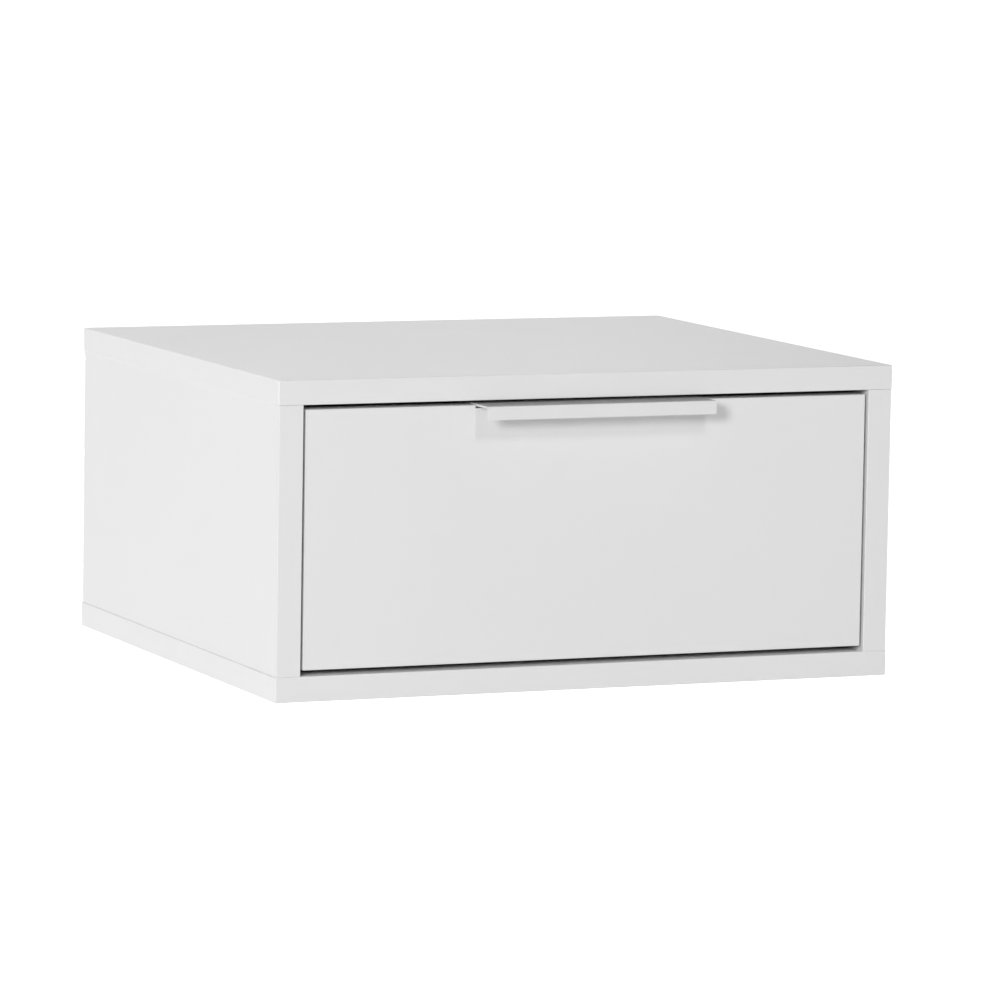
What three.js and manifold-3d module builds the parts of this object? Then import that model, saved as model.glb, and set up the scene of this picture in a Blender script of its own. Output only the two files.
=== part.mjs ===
// Floating nightstand with one drawer, in millimetres, +Z up, its front facing -Y.
// The origin lies on the wall plane, at the centre of the hanging rail's rear face.
import * as THREE from 'three';
import { mergeVertices } from 'three/addons/utils/BufferGeometryUtils.js';
import Module from 'manifold-3d';

const wasm = await Module();
wasm.setup();

// Carcass boards
const cabinetWidth = 420;
const cabinetDepth = 362;
const cabinetHeight = 200;
const boardThickness = 16;
const sideInset = 0.75;
const edgeEase = 0.4;

// Hanging rail and its two countersunk holes for wall screws
const railHeight = 80;
const wallHoleSpacing = 256;
const wallHoleRadius = 3;
const wallSinkRadius = 6;

// Back panel and the grooves that hold it
const backThickness = 3;
const grooveDepth = 6;
const panelClearance = 0.3;

// Cam fittings that draw the boards together
const camRadius = 7.5;
const camSkin = 2;
const camSetback = 24;
const camFit = 0.2;
const camCrossLength = 8;
const camCrossWidth = 1.4;
const camCrossDepth = 2;
const camSlotClearance = 0.3;
const boltHeadRadius = 3;
const boltHeadLength = 4;
const boltNeckRadius = 1.8;
const boltCollarRadius = 3.4;
const boltCollarLength = 2;
const boltThreadRadius = 2.7;
const boltThreadLength = 11;
const boltBoreRadius = 4;
const camFrontPlace = 45;
const camRearPlace = 60;

// Drawer front, set into the opening
const frontRecess = 1.25;
const frontSideGap = 2;
const frontTopGap = 2.3;
const frontBottomGap = 3.3;

// Drawer box
const boxBoard = 12;
const boxHeight = 120;
const boxRearGap = 23;
const boxLift = 12;
const floorThickness = 3;
const floorLift = 10;
const boxCamDrop = 28;
const boxScrewDrop = 24;

// Edge pull: a profile over the top edge of the drawer front
const pullLength = 156;
const pullSheet = 1.5;
const pullReach = 19.25;
const pullRise = 0.6;
const lipHeight = 8.5;
const legHeight = 22.6;
const pullBend = 0.5;
const pullEndRadius = 1.2;
const pullEndGap = 0.3;
const pullSeatGap = 0.8;
const pullScrewSpacing = 128;
const pullScrewDrop = 13;

// Telescopic ball runners
const runnerHeight = 45;
const runnerThickness = 12.75;
const runnerSheet = 1.2;
const runnerLevel = 100;
const runnerFrontGap = 3;
const runnerRearGap = 25;
const outerBend = 2.6;
const innerBend = 1.4;
const ballRadius = 1.6;
const raceClearance = 0.2;
const outerBallSetback = 7;
const innerBallSetback = 8;
const lipPastBall = 0.2;
const ballPitch = 18;
const ballsPerRow = 5;
const cageSheet = 0.5;
const cageClearance = 0.3;
const cagePastBall = 1;
const cageEndMargin = 8;
const windowLength = 34;
const windowHeight = 14;
const windowPlace = 62;
const runnerScrewInset = 38;

// Rubber stops in the rear ends of the cabinet members
const stopLength = 7;
const stopBase = 3;
const stopGap = 0.3;
const stopPadInner = 8;
const stopPadOuter = 16;
const stopPadRound = 1.5;

// Screws
const screwFit = 0.3;
const flatHeadRadius = 4;
const flatShankRadius = 1.9;
const flatScrewLength = 12;
const panHeadRadius = 3.4;
const panHeadHeight = 1.9;
const panShankRadius = 1.7;
const panScrewLength = 10;
const driveLength = 3.6;
const driveWidth = 0.9;
const driveDepth = 1;

// Cutting and meshing
const overrun = 1;
const coordinateStep = 0.001;
const roundSides = 20;
const screwSides = 10;
const boltSides = 8;
const ballSides = 8;
const bendSteps = 3;

// Planes and heights that the driving sizes give
const underside = -(cabinetHeight - boardThickness - railHeight / 2);
const topFace = underside + cabinetHeight;
const innerBottom = underside + boardThickness;
const innerTop = topFace - boardThickness;
const railBottom = innerTop - railHeight;
const frontPlane = -cabinetDepth;
const outerHalf = cabinetWidth / 2;
const sideOuter = outerHalf - sideInset;
const sideInner = sideOuter - boardThickness;
const backMiddle = -boardThickness / 2;

const faceFront = frontPlane + frontRecess;
const faceBack = faceFront + boardThickness;
const faceHalf = sideInner - frontSideGap;
const faceBottom = innerBottom + frontBottomGap;
const faceTop = innerTop - frontTopGap;
const pullTop = faceTop + pullRise;

const boxOuter = sideInner - runnerThickness;
const boxInner = boxOuter - boxBoard;
const boxBottom = faceBottom + boxLift;
const boxTop = boxBottom + boxHeight;
const boxRear = -boardThickness - boxRearGap;
const boxBackFront = boxRear - boxBoard;
const floorBottom = boxBottom + floorLift;

const runnerFront = faceBack + runnerFrontGap;
const runnerRear = -boardThickness - runnerRearGap;
const memberRear = runnerRear - stopLength - stopGap;
const runnerMiddle = (runnerFront + runnerRear) / 2;
const runnerZ = underside + runnerLevel;
const runnerScrewFront = runnerFront + runnerScrewInset;
const runnerScrewRear = runnerRear - runnerScrewInset;

// Ball rows and members nest from the cabinet side to the drawer side
const outerBallLevel = runnerHeight / 2 - runnerSheet - raceClearance - ballRadius;
const middleHalf = outerBallLevel - ballRadius - raceClearance;
const innerBallLevel = middleHalf - runnerSheet - raceClearance - ballRadius;
const drawerMemberHalf = innerBallLevel - ballRadius - raceClearance;
const outerCageWeb = runnerSheet + cageClearance;
const middleWeb = outerCageWeb + cageSheet + cageClearance;
const innerCageWeb = middleWeb + runnerSheet + cageClearance;
const drawerMemberTip = innerCageWeb + cageSheet + cageClearance;
const ballToLip = ballRadius + raceClearance + runnerSheet;

// Finishes
const melamine = new THREE.MeshStandardMaterial({ color: 0xe9e9e8, roughness: 0.55, metalness: 0 });
const boxMelamine = new THREE.MeshStandardMaterial({ color: 0xe4e4e2, roughness: 0.6, metalness: 0 });
const hardboard = new THREE.MeshStandardMaterial({ color: 0xdededb, roughness: 0.6, metalness: 0 });
const pullPaint = new THREE.MeshStandardMaterial({ color: 0xececeb, roughness: 0.4, metalness: 0.1 });
const zincSteel = new THREE.MeshStandardMaterial({ color: 0xb8bcc0, roughness: 0.35, metalness: 0.9 });
const cageSteel = new THREE.MeshStandardMaterial({ color: 0x9a9ea2, roughness: 0.3, metalness: 0.9 });
const stopRubber = new THREE.MeshStandardMaterial({ color: 0x3c3d3e, roughness: 0.8, metalness: 0 });
const castZinc = new THREE.MeshStandardMaterial({ color: 0x8f9295, roughness: 0.5, metalness: 0.8 });

// Solids and cuts

function solidOf(geometry) {
  const bare = geometry.index ? geometry.toNonIndexed() : geometry.clone();
  bare.deleteAttribute('normal');
  bare.deleteAttribute('uv');
  const merged = mergeVertices(bare, coordinateStep);
  const vertProperties = new Float32Array(merged.attributes.position.array);
  const triVerts = new Uint32Array(merged.index.array);
  return new wasm.Manifold(new wasm.Mesh({ numProp: 3, vertProperties, triVerts }));
}

// The corners are set on a fine grid, so that faces in one plane have one and the same coordinate
function geometryOf(solid) {
  const mesh = solid.getMesh();
  const settle = (value) => Math.round(value / coordinateStep) * coordinateStep;
  const geometry = new THREE.BufferGeometry();
  const corners = Float32Array.from(mesh.vertProperties, settle);
  geometry.setAttribute('position', new THREE.BufferAttribute(corners, 3));
  geometry.setIndex(new THREE.BufferAttribute(new Uint32Array(mesh.triVerts), 1));
  const faceted = geometry.toNonIndexed();
  faceted.computeVertexNormals();
  return faceted;
}

function onGrid(geometry) {
  return geometryOf(solidOf(geometry));
}

function cut(geometry, cutters) {
  let solid = solidOf(geometry);
  for (const cutter of cutters) {
    solid = solid.subtract(solidOf(cutter));
  }
  return geometryOf(solid);
}

function joined(geometries) {
  let solid = solidOf(geometries[0]);
  for (const geometry of geometries.slice(1)) {
    solid = solid.add(solidOf(geometry));
  }
  return geometryOf(solid);
}

function meshOf(name, geometry, material) {
  const mesh = new THREE.Mesh(geometry, material);
  mesh.name = name;
  return mesh;
}

// Plain forms

function block(low, high) {
  const [width, depth, height] = high.map((value, axis) => value - low[axis]);
  const geometry = new THREE.BoxGeometry(width, depth, height);
  return geometry.translate(low[0] + width / 2, low[1] + depth / 2, low[2] + height / 2);
}

// A board with its arrises taken off by edgeEase
function board(low, high) {
  const [width, depth, height] = high.map((value, axis) => value - low[axis]);
  const outline = new THREE.Shape([
    new THREE.Vector2(edgeEase, 0),
    new THREE.Vector2(width - edgeEase, 0),
    new THREE.Vector2(width, edgeEase),
    new THREE.Vector2(width, depth - edgeEase),
    new THREE.Vector2(width - edgeEase, depth),
    new THREE.Vector2(edgeEase, depth),
    new THREE.Vector2(0, depth - edgeEase),
    new THREE.Vector2(0, edgeEase),
  ]);
  const geometry = new THREE.ExtrudeGeometry(outline, {
    depth: height - 2 * edgeEase,
    bevelThickness: edgeEase,
    bevelSize: edgeEase,
    bevelOffset: -edgeEase,
    bevelSegments: 1,
  });
  return geometry.translate(low[0], low[1], low[2] + edgeEase);
}

// A closed outline from corners [u, v, radius], with each corner rounded by its radius
function outlineOf(corners) {
  const points = [];
  corners.forEach(([u, v, radius], index) => {
    const corner = new THREE.Vector2(u, v);
    if (!radius) {
      points.push(corner);
      return;
    }
    const before = corners[(index + corners.length - 1) % corners.length];
    const after = corners[(index + 1) % corners.length];
    const back = new THREE.Vector2(before[0] - u, before[1] - v).normalize();
    const ahead = new THREE.Vector2(after[0] - u, after[1] - v).normalize();
    const halfAngle = Math.acos(back.dot(ahead)) / 2;
    const middle = back.clone().add(ahead).normalize();
    const centre = corner.clone().addScaledVector(middle, radius / Math.sin(halfAngle));
    const start = corner.clone().addScaledVector(back, radius / Math.tan(halfAngle)).sub(centre);
    const end = corner.clone().addScaledVector(ahead, radius / Math.tan(halfAngle)).sub(centre);
    const turn = Math.atan2(start.cross(end), start.dot(end));
    for (let step = 0; step <= bendSteps; step += 1) {
      const spoke = start.clone().rotateAround(new THREE.Vector2(), (turn * step) / bendSteps);
      points.push(centre.clone().add(spoke));
    }
  });
  return new THREE.Shape(points);
}

// An outline in x and z, drawn out along y between two places
function drawnAlongY(corners, front, rear) {
  const geometry = new THREE.ExtrudeGeometry(outlineOf(corners), {
    depth: rear - front,
    bevelEnabled: false,
  });
  return geometry.rotateX(Math.PI / 2).translate(0, rear, 0);
}

// An outline in y and z, drawn out along x between two places
function drawnAlongX(corners, left, right) {
  const geometry = new THREE.ExtrudeGeometry(outlineOf(corners), {
    depth: right - left,
    bevelEnabled: false,
  });
  const turned = new THREE.Matrix4().makeBasis(
    new THREE.Vector3(0, 1, 0),
    new THREE.Vector3(0, 0, 1),
    new THREE.Vector3(1, 0, 0),
  );
  return geometry.applyMatrix4(turned).translate(left, 0, 0);
}

// A round bar along the local z axis
function barAlongZ(radius, from, to, sides) {
  const geometry = new THREE.CylinderGeometry(radius, radius, to - from, sides);
  return geometry.rotateX(Math.PI / 2).translate(0, 0, (from + to) / 2);
}

// A turned form: [radius, height] pairs from the foot to the tip, spun round the local z axis
function turned(profile, sides) {
  const points = profile.map(([radius, height]) => new THREE.Vector2(radius, height));
  return new THREE.LatheGeometry(points, sides).rotateX(Math.PI / 2);
}

// A frame whose y axis leaves a board's face and whose z axis runs into the board behind its edge
function frameAt(origin, faceNormal, inward) {
  const across = new THREE.Vector3().crossVectors(faceNormal, inward);
  return new THREE.Matrix4().makeBasis(across, faceNormal, inward).setPosition(origin);
}

const right = new THREE.Vector3(1, 0, 0);
const left = new THREE.Vector3(-1, 0, 0);
const forward = new THREE.Vector3(0, -1, 0);
const rearward = new THREE.Vector3(0, 1, 0);
const up = new THREE.Vector3(0, 0, 1);
const down = new THREE.Vector3(0, 0, -1);

// Cam fittings: the bolt's thread sits in one board, and the cam in the other draws its head in

function camBolt() {
  const headStart = camSetback - boltHeadLength / 2;
  const headEnd = camSetback + boltHeadLength / 2;
  return turned([
    [0, -boltThreadLength],
    [boltNeckRadius, -boltThreadLength],
    [boltThreadRadius, -boltThreadLength + boltThreadRadius],
    [boltThreadRadius, 0],
    [boltCollarRadius, 0],
    [boltCollarRadius, boltCollarLength],
    [boltNeckRadius, boltCollarLength],
    [boltNeckRadius, headStart],
    [boltHeadRadius, headStart + boltHeadLength / 4],
    [boltHeadRadius, headEnd - boltHeadLength / 4],
    [boltNeckRadius, headEnd],
    [0, headEnd],
  ], boltSides);
}

function camBody(thickness) {
  const face = thickness / 2;
  const floor = face - (thickness - camSkin);
  const slot = boltHeadRadius + camSlotClearance;
  const body = barAlongZ(camRadius, floor, face, roundSides).rotateX(-Math.PI / 2);
  body.translate(0, 0, camSetback);
  const mouth = block(
    [-slot, -slot, camSetback - camRadius - overrun],
    [slot, slot, camSetback + boltHeadLength / 2 + camSlotClearance],
  );
  const crossFloor = face - camCrossDepth;
  const crossLong = block(
    [-camCrossLength / 2, crossFloor, camSetback - camCrossWidth / 2],
    [camCrossLength / 2, face + overrun, camSetback + camCrossWidth / 2],
  );
  const crossShort = block(
    [-camCrossWidth / 2, crossFloor, camSetback - camCrossLength / 2],
    [camCrossWidth / 2, face + overrun, camSetback + camCrossLength / 2],
  );
  return cut(body, [mouth, crossLong, crossShort]);
}

// The bores for the cam and for the bolt's neck, in the board that holds the cam
function camBores(frame, thickness) {
  const face = thickness / 2;
  const floor = face - (thickness - camSkin) - camFit;
  const well = barAlongZ(camRadius + camFit, floor, face + overrun, roundSides).rotateX(-Math.PI / 2);
  well.translate(0, 0, camSetback);
  const neck = barAlongZ(boltBoreRadius, -overrun, camSetback, boltSides);
  return [well.applyMatrix4(frame), neck.applyMatrix4(frame)];
}

function threadBore(frame) {
  const bore = barAlongZ(boltThreadRadius + camFit, -boltThreadLength - camFit, overrun, boltSides);
  return bore.applyMatrix4(frame);
}

function camFitting(place, frame, thickness) {
  const fitting = new THREE.Group();
  fitting.add(meshOf(`cam_${place}`, camBody(thickness), castZinc));
  fitting.add(meshOf(`cam_bolt_${place}`, camBolt(), zincSteel));
  fitting.applyMatrix4(frame);
  return fitting;
}

// Screws stand along the local z axis, with z = 0 on the face of the board that they enter

function flatScrewProfile(seat, grow) {
  const coneFoot = seat - (flatHeadRadius - flatShankRadius);
  return [
    [0, -flatScrewLength - grow],
    [flatShankRadius / 2 + grow, -flatScrewLength - grow],
    [flatShankRadius + grow, -flatScrewLength + flatShankRadius],
    [flatShankRadius + grow, coneFoot],
    [flatHeadRadius + grow, seat],
  ];
}

function flatScrew(seat) {
  const body = turned([...flatScrewProfile(seat, 0), [0, seat]], screwSides);
  return cut(body, driveCuts(seat));
}

function flatScrewHole(seat) {
  const headTop = [flatHeadRadius + screwFit, seat + overrun];
  return turned([...flatScrewProfile(seat, screwFit), headTop, [0, seat + overrun]], screwSides);
}

function panScrew(seat) {
  const body = turned([
    [0, -panScrewLength],
    [panShankRadius / 2, -panScrewLength],
    [panShankRadius, -panScrewLength + panShankRadius],
    [panShankRadius, seat],
    [panHeadRadius, seat],
    [panHeadRadius, seat + panHeadHeight / 2],
    [panHeadRadius - panHeadHeight / 2, seat + panHeadHeight],
    [0, seat + panHeadHeight],
  ], screwSides);
  return cut(body, driveCuts(seat + panHeadHeight));
}

function panScrewHole(seat) {
  return barAlongZ(panShankRadius + screwFit, -panScrewLength - screwFit, seat + overrun, screwSides);
}

// The cross in a screw's head
function driveCuts(top) {
  const half = driveLength / 2;
  const thin = driveWidth / 2;
  return [
    block([-half, -thin, top - driveDepth], [half, thin, top + overrun]),
    block([-thin, -half, top - driveDepth], [thin, half, top + overrun]),
  ];
}

function screwFrame(origin, out) {
  const side = Math.abs(out.z) > Math.abs(out.x) ? right : up;
  return frameAt(origin, side, out);
}

// Places of the fittings on the right-hand side, in the frame of the whole part

const camPlaces = [
  ['front', frontPlane + camFrontPlace],
  ['rear', -camRearPlace],
];
const sideMiddle = sideInner + boardThickness / 2;
const boxSideMiddle = boxInner + boxBoard / 2;

const topFrames = camPlaces.map(([name, y]) => [
  `top_${name}`,
  frameAt(new THREE.Vector3(sideMiddle, y, innerTop), left, down),
]);
const bottomFrames = camPlaces.map(([name, y]) => [
  `bottom_${name}`,
  frameAt(new THREE.Vector3(sideMiddle, y, innerBottom), left, up),
]);
const railFrame = frameAt(new THREE.Vector3(sideInner, backMiddle, 0), forward, left);
const boxFrontFrame = frameAt(
  new THREE.Vector3(boxSideMiddle, faceBack, boxTop - boxCamDrop),
  left,
  rearward,
);
const cabinetScrewFrames = [runnerScrewFront, runnerScrewRear].map((y) =>
  screwFrame(new THREE.Vector3(sideInner, y, runnerZ), left),
);
const drawerScrewFrames = [runnerScrewFront, runnerScrewRear].map((y) =>
  screwFrame(new THREE.Vector3(boxOuter, y, runnerZ), right),
);
const boxBackScrewFrame = screwFrame(
  new THREE.Vector3(boxOuter, boxRear - boxBoard / 2, boxTop - boxScrewDrop),
  right,
);
const pullScrewFrames = [-1, 1].map((side) =>
  screwFrame(
    new THREE.Vector3((side * pullScrewSpacing) / 2, faceBack, faceTop - pullScrewDrop),
    rearward,
  ),
);

// The mirror image of a solid on the left-hand side, with its triangles turned to face out again
function mirrored(geometry) {
  const flat = geometry.index ? geometry.toNonIndexed() : geometry.clone();
  const corners = flat.attributes.position;
  for (let first = 0; first < corners.count; first += 3) {
    const held = [corners.getX(first), corners.getY(first), corners.getZ(first)];
    const third = first + 2;
    const swapped = [corners.getX(third), corners.getY(third), corners.getZ(third)];
    corners.setXYZ(first, -swapped[0], swapped[1], swapped[2]);
    corners.setX(first + 1, -corners.getX(first + 1));
    corners.setXYZ(third, -held[0], held[1], held[2]);
  }
  return flat;
}

function onBothSides(cutters) {
  return [...cutters, ...cutters.map(mirrored)];
}

// Carcass boards

function topBoard() {
  const blank = board([-outerHalf, frontPlane, innerTop], [outerHalf, 0, topFace]);
  const bores = topFrames.map(([, frame]) => threadBore(frame));
  return cut(blank, onBothSides(bores));
}

// The groove for the back panel in the boards on three of its edges
function backGroove(low, high) {
  const half = backThickness / 2 + panelClearance;
  return block([low[0], backMiddle - half, low[1]], [high[0], backMiddle + half, high[1]]);
}

function bottomBoard() {
  const blank = board([-outerHalf, frontPlane, underside], [outerHalf, 0, innerBottom]);
  const bores = bottomFrames.map(([, frame]) => threadBore(frame));
  const reach = sideInner + grooveDepth;
  const groove = backGroove([-reach, innerBottom - grooveDepth], [reach, innerBottom + overrun]);
  return cut(blank, [...onBothSides(bores), groove]);
}

function sideBoard() {
  const blank = board([sideInner, frontPlane, innerBottom], [sideOuter, 0, innerTop]);
  const grooveTop = railBottom + grooveDepth;
  const groove = backGroove(
    [sideInner - overrun, innerBottom - overrun],
    [sideInner + grooveDepth, grooveTop],
  );
  const cams = [...topFrames, ...bottomFrames].flatMap(([, frame]) => camBores(frame, boardThickness));
  const screws = cabinetScrewFrames.map((frame) => flatScrewHole(runnerSheet).applyMatrix4(frame));
  return cut(blank, [groove, threadBore(railFrame), ...cams, ...screws]);
}

function wallHole(x) {
  const sink = wallSinkRadius - wallHoleRadius;
  const hole = turned([
    [0, -overrun],
    [wallHoleRadius, -overrun],
    [wallHoleRadius, boardThickness - sink],
    [wallSinkRadius + overrun, boardThickness + overrun],
    [0, boardThickness + overrun],
  ], roundSides);
  return hole.applyMatrix4(screwFrame(new THREE.Vector3(x, 0, 0), forward));
}

function hangingRail() {
  const blank = board([-sideInner, -boardThickness, railBottom], [sideInner, 0, innerTop]);
  const groove = backGroove(
    [-sideInner - overrun, railBottom - overrun],
    [sideInner + overrun, railBottom + grooveDepth],
  );
  const holes = [wallHole(-wallHoleSpacing / 2), wallHole(wallHoleSpacing / 2)];
  return cut(blank, [groove, ...holes, ...onBothSides(camBores(railFrame, boardThickness))]);
}

// The back panel sits in grooves in the sides, the bottom board and the hanging rail
function backPanel() {
  const tongue = grooveDepth - panelClearance;
  const low = [-sideInner - tongue, backMiddle - backThickness / 2, innerBottom - tongue];
  const high = [sideInner + tongue, backMiddle + backThickness / 2, railBottom + tongue];
  return onGrid(block(low, high));
}

// Runner members, each with x measured from the cabinet side's inner face towards the drawer

// A channel with its web at one place and lips that come back over its ball rows
function channel(web, lipFace, half, lipTip) {
  const x = (setback) => sideInner - setback;
  const corners = [
    [x(web), half, outerBend],
    [x(lipFace), half, outerBend],
    [x(lipFace), lipTip, 0],
    [x(lipFace - runnerSheet), lipTip, 0],
    [x(lipFace - runnerSheet), half - runnerSheet, innerBend],
    [x(web + runnerSheet), half - runnerSheet, innerBend],
  ];
  const below = corners.map(([u, v, radius]) => [u, -v, radius]).reverse();
  return [...corners, ...below].map(([u, v, radius]) => [u, v + runnerZ, radius]);
}

function cabinetMember() {
  const lipFace = outerBallSetback + ballToLip;
  const section = channel(0, lipFace, runnerHeight / 2, outerBallLevel - lipPastBall);
  const holes = cabinetScrewFrames.map((frame) => flatScrewHole(runnerSheet).applyMatrix4(frame));
  return cut(drawnAlongY(section, runnerFront, runnerRear), holes);
}

// A window through the middle member's web, which lets a screwdriver reach the screws behind it
function accessWindow(y) {
  const halfLength = windowLength / 2;
  const halfHeight = windowHeight / 2;
  const corners = [
    [y - halfLength, runnerZ - halfHeight, halfHeight],
    [y + halfLength, runnerZ - halfHeight, halfHeight],
    [y + halfLength, runnerZ + halfHeight, halfHeight],
    [y - halfLength, runnerZ + halfHeight, halfHeight],
  ];
  const webFace = sideInner - middleWeb;
  return drawnAlongX(corners, webFace - runnerSheet - overrun, webFace + overrun);
}

function middleMember() {
  const lipFace = innerBallSetback + ballToLip;
  const section = channel(middleWeb, lipFace, middleHalf, innerBallLevel - lipPastBall);
  const windows = [-windowPlace, windowPlace].map((offset) => accessWindow(runnerMiddle + offset));
  return cut(drawnAlongY(section, runnerFront, memberRear), windows);
}

// The drawer member opens towards the cabinet side, and its web lies on the drawer box
function drawerMember() {
  const x = (setback) => sideInner - setback;
  const tip = x(drawerMemberTip);
  const webBack = x(runnerThickness - runnerSheet);
  const flangeInner = drawerMemberHalf - runnerSheet;
  const corners = [
    [boxOuter, drawerMemberHalf, outerBend],
    [tip, drawerMemberHalf, 0],
    [tip, flangeInner, 0],
    [webBack, flangeInner, innerBend],
  ];
  const below = corners.map(([u, v, radius]) => [u, -v, radius]).reverse();
  const section = [...corners, ...below].map(([u, v, radius]) => [u, v + runnerZ, radius]);
  const holes = drawerScrewFrames.map((frame) => panScrewHole(runnerSheet).applyMatrix4(frame));
  return cut(drawnAlongY(section, runnerFront, memberRear), holes);
}

// The stop fills the rear end of the cabinet member, and its two pads meet the other two members
function runnerStop() {
  const half = runnerHeight / 2 - runnerSheet - innerBend;
  const padFront = runnerRear - stopLength;
  const baseFront = runnerRear - stopBase;
  const corners = [
    [runnerRear, half, 0],
    [baseFront, half, 0],
    [baseFront, stopPadOuter, 0],
    [padFront, stopPadOuter, stopPadRound],
    [padFront, stopPadInner, stopPadRound],
    [baseFront, stopPadInner, 0],
  ];
  const below = corners.map(([u, v, radius]) => [u, -v, radius]).reverse();
  const section = [...corners, ...below].map(([u, v, radius]) => [u, v + runnerZ, radius]);
  const lipInside = outerBallSetback + ballRadius + raceClearance;
  return onGrid(drawnAlongX(section, sideInner - lipInside + stopGap, sideInner - runnerSheet));
}

// A ball cage: a folded strip that carries an upper and a lower row of balls
function ballCage(web, ballSetback, level) {
  const x = (setback) => sideInner - setback;
  const tip = ballSetback + cagePastBall;
  const half = level + cageSheet / 2;
  const corners = [
    [x(web), half, 0],
    [x(tip), half, 0],
    [x(tip), half - cageSheet, 0],
    [x(web + cageSheet), half - cageSheet, 0],
  ];
  const below = corners.map(([u, v, radius]) => [u, -v, radius]).reverse();
  const section = [...corners, ...below].map(([u, v, radius]) => [u, v + runnerZ, radius]);
  const halfRow = (ballPitch * (ballsPerRow - 1)) / 2;
  const reach = halfRow + cageEndMargin;
  const strip = drawnAlongY(section, runnerMiddle - reach, runnerMiddle + reach);
  const balls = [];
  for (const row of [-1, 1]) {
    for (let index = 0; index < ballsPerRow; index += 1) {
      const y = runnerMiddle - halfRow + index * ballPitch;
      const ball = new THREE.SphereGeometry(ballRadius, ballSides, ballSides / 2);
      balls.push(ball.translate(x(ballSetback), y, runnerZ + row * level));
    }
  }
  return joined([strip, ...balls]);
}

// Drawer box

function floorGroove(low, high) {
  const bottom = floorBottom - panelClearance;
  const top = floorBottom + floorThickness + panelClearance;
  return block([low[0], low[1], bottom], [high[0], high[1], top]);
}

// The shallow rebate that lets the pull's plate through under the top board, with air below it
function pullRebate() {
  const half = pullLength / 2 + pullEndGap;
  return block(
    [-half, faceFront - overrun, pullTop - pullSheet - pullSeatGap],
    [half, faceBack + overrun, faceTop + overrun],
  );
}

function drawerFront() {
  const blank = board([-faceHalf, faceFront, faceBottom], [faceHalf, faceBack, faceTop]);
  const groove = floorGroove(
    [-boxInner - grooveDepth, faceBack - grooveDepth],
    [boxInner + grooveDepth, faceBack + overrun],
  );
  const bolts = onBothSides([threadBore(boxFrontFrame)]);
  const screws = pullScrewFrames.map((frame) => panScrewHole(pullSheet).applyMatrix4(frame));
  return cut(blank, [groove, pullRebate(), ...bolts, ...screws]);
}

function drawerSide() {
  const blank = board([boxInner, faceBack, boxBottom], [boxOuter, boxRear, boxTop]);
  const groove = floorGroove(
    [boxInner - overrun, faceBack - overrun],
    [boxInner + grooveDepth, boxBackFront + grooveDepth],
  );
  const screws = drawerScrewFrames.map((frame) => panScrewHole(runnerSheet).applyMatrix4(frame));
  const backScrew = flatScrewHole(0).applyMatrix4(boxBackScrewFrame);
  return cut(blank, [groove, backScrew, ...camBores(boxFrontFrame, boxBoard), ...screws]);
}

function drawerBack() {
  const blank = board([-boxInner, boxBackFront, boxBottom], [boxInner, boxRear, boxTop]);
  const groove = floorGroove(
    [-boxInner - overrun, boxBackFront - overrun],
    [boxInner + overrun, boxBackFront + grooveDepth],
  );
  const screws = onBothSides([flatScrewHole(0).applyMatrix4(boxBackScrewFrame)]);
  return cut(blank, [groove, ...screws]);
}

function drawerFloor() {
  const tongue = grooveDepth - panelClearance;
  const low = [-boxInner - tongue, faceBack - tongue, floorBottom];
  const high = [boxInner + tongue, boxBackFront + tongue, floorBottom + floorThickness];
  return onGrid(block(low, high));
}

// The pull is one profile: a leg behind the front, a plate over its top edge and a lip to grip
function edgePull() {
  const half = pullLength / 2;
  const lipFront = faceFront - pullReach;
  const legBack = faceBack + pullSheet;
  const profile = [
    [lipFront, pullTop, pullBend],
    [legBack, pullTop, pullBend],
    [legBack, pullTop - legHeight, 0],
    [faceBack, pullTop - legHeight, 0],
    [faceBack, pullTop - pullSheet, 0],
    [lipFront + pullSheet, pullTop - pullSheet, 0],
    [lipFront + pullSheet, pullTop - lipHeight, 0],
    [lipFront, pullTop - lipHeight, 0],
  ];
  const holes = pullScrewFrames.map((frame) => panScrewHole(pullSheet).applyMatrix4(frame));
  const bar = cut(drawnAlongX(profile, -half, half), holes);
  const silhouette = [
    [-half, pullTop + overrun, 0],
    [-half, pullTop - lipHeight, pullEndRadius],
    [half, pullTop - lipHeight, pullEndRadius],
    [half, pullTop + overrun, 0],
  ];
  const trimmed = drawnAlongY(silhouette, lipFront - overrun, faceFront - overrun);
  const rest = block(
    [-half, faceFront - overrun, pullTop - legHeight],
    [half, legBack, pullTop],
  );
  return geometryOf(solidOf(bar).intersect(solidOf(trimmed).add(solidOf(rest))));
}

// Assembly: what exists on both sides is built on the right and mirrored to the left

const nightstand = new THREE.Group();
const carcass = new THREE.Group();
const drawer = new THREE.Group();
nightstand.add(carcass, drawer);

carcass.add(meshOf('top_board', topBoard(), melamine));
carcass.add(meshOf('bottom_board', bottomBoard(), melamine));
carcass.add(meshOf('hanging_rail', hangingRail(), melamine));
carcass.add(meshOf('back_panel', backPanel(), hardboard));

drawer.add(meshOf('drawer_front', drawerFront(), melamine));
drawer.add(meshOf('drawer_back', drawerBack(), boxMelamine));
drawer.add(meshOf('drawer_floor', drawerFloor(), hardboard));
drawer.add(meshOf('edge_pull', edgePull(), pullPaint));

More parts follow.
